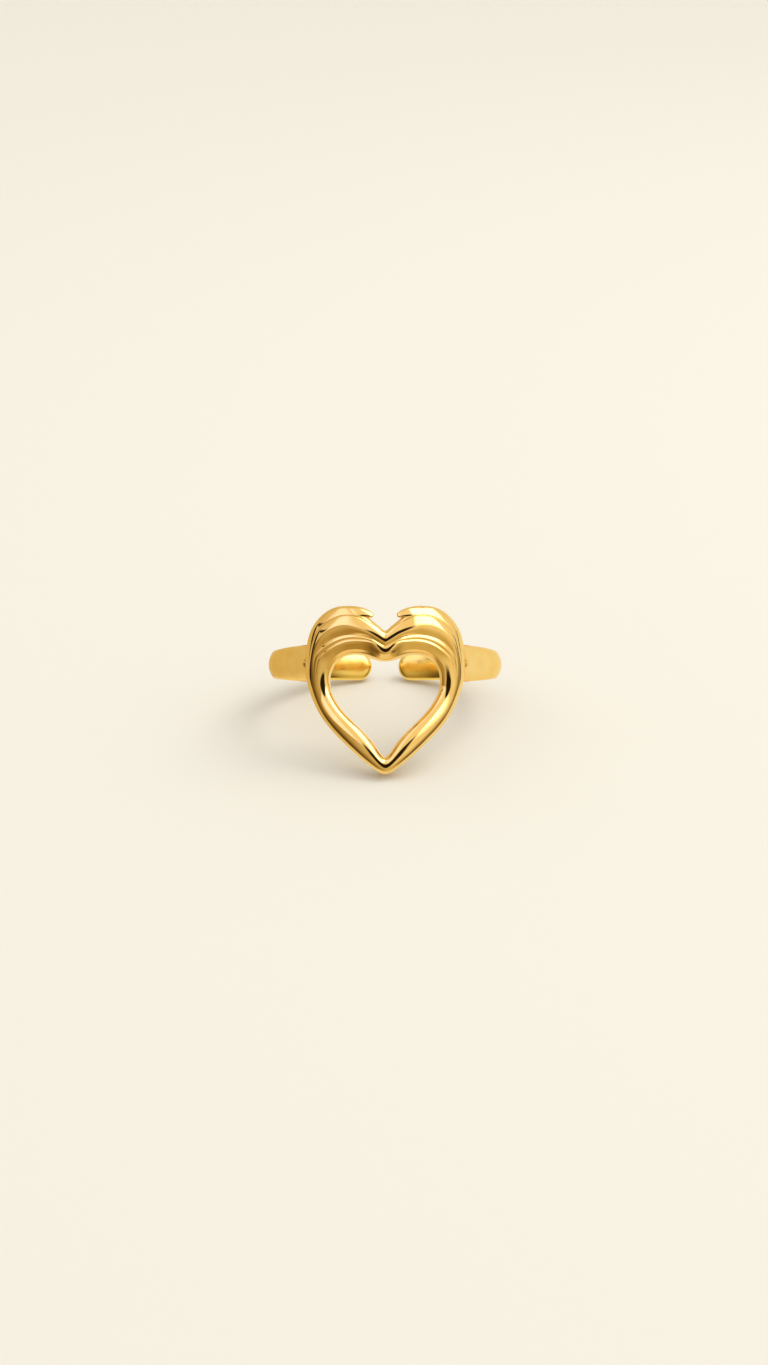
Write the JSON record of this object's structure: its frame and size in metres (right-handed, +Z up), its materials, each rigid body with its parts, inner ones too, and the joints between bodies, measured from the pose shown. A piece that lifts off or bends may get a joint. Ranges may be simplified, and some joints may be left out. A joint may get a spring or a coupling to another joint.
{
  "type": "open heart ring",
  "caption": "Open adjustable finger ring with a folded, open heart frame on a crowned band with rounded ends.",
  "frame": {"origin": "centre of the bounding box at the level that the ring rests on, lying on its side", "axes": "+Z up; +Y away from the face of the heart, towards the gap in the band; +X across the heart. The finger hole's axis leans from +Z towards +Y"},
  "size_m": [0.0202, 0.0228, 0.0132],
  "materials": {
    "polished_gold": "mirror polished yellow gold plating"
  },
  "bodies": {
    "root": {"heart_ring": "polished_gold"}
  },
  "joints": []
}
